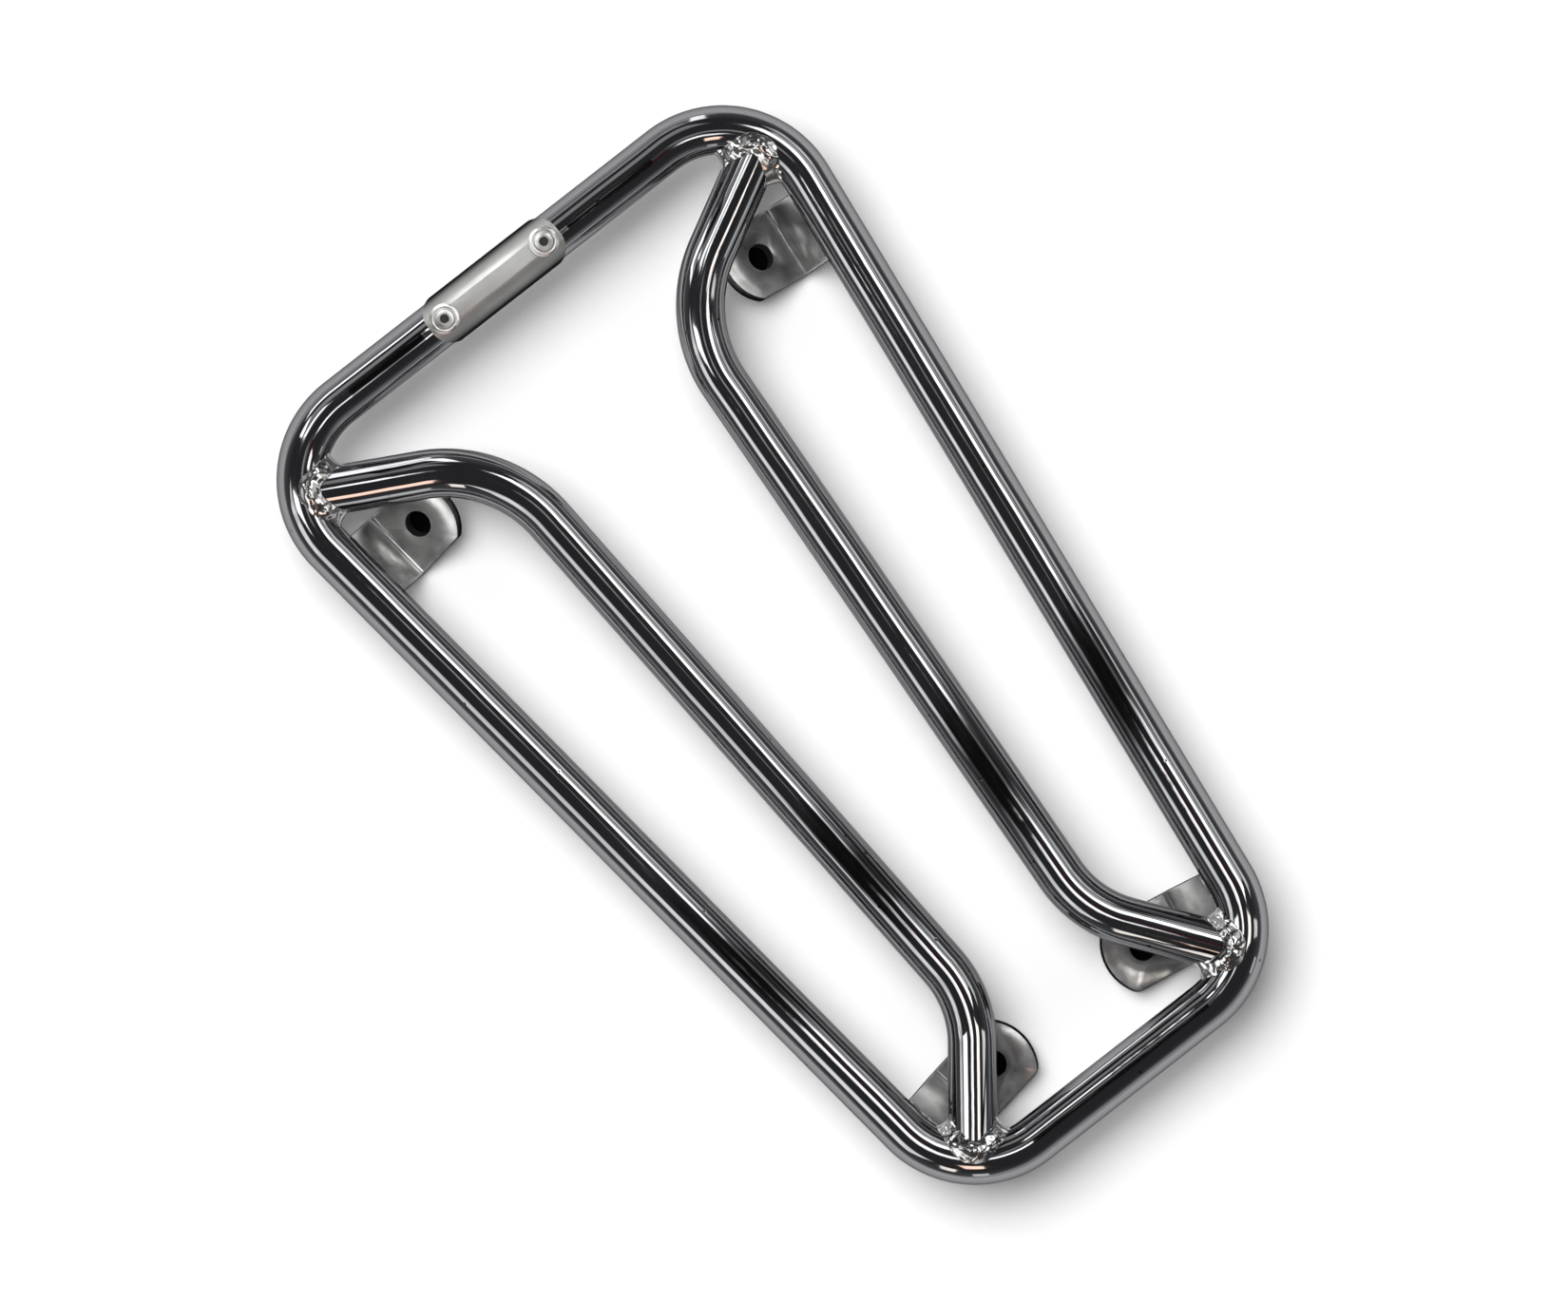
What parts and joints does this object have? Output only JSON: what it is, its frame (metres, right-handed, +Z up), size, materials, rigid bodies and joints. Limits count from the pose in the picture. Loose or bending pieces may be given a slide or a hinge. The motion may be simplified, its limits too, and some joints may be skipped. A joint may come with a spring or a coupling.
{
  "type": "motorcycle luggage rack",
  "caption": "Chromed tube luggage rack for a motorcycle mudguard: a tapered loop with bent inner rails, folded mounting tabs and a riveted bare badge plate.",
  "frame": {"origin": "under the middle of the rack's overall length and width, on the plane that the folds of the four tabs stand on", "axes": "+Y from the wide end with the badge plate to the narrow end, +Z up, +X to the right when facing the narrow end"},
  "size_m": [0.2124, 0.3436, 0.0376],
  "materials": {
    "chrome_tube": "polished chrome plate",
    "chrome_tab": "chrome plate over flat bar, slightly cloudy",
    "chrome_weld": "chrome plate over rippled weld beads",
    "badge_aluminium": "satin",
    "rivet_aluminium": "bright, as set",
    "mandrel_steel": "broken steel pin"
  },
  "bodies": {
    "root": {"outer_loop": "chrome_tube", "badge_plate": "badge_aluminium", "rail_left": "chrome_tube", "wide_tab_left": "chrome_tab", "wide_rail_weld_left": "chrome_weld", "wide_tab_weld_left": "chrome_weld", "narrow_tab_left": "chrome_tab", "narrow_rail_weld_left": "chrome_weld", "narrow_tab_weld_left": "chrome_weld", "rivet_left": "rivet_aluminium", "rivet_mandrel_left": "mandrel_steel", "rail_right": "chrome_tube", "wide_tab_right": "chrome_tab", "wide_rail_weld_right": "chrome_weld", "wide_tab_weld_right": "chrome_weld", "narrow_tab_right": "chrome_tab", "narrow_rail_weld_right": "chrome_weld", "narrow_tab_weld_right": "chrome_weld", "rivet_right": "rivet_aluminium", "rivet_mandrel_right": "mandrel_steel"}
  },
  "joints": []
}
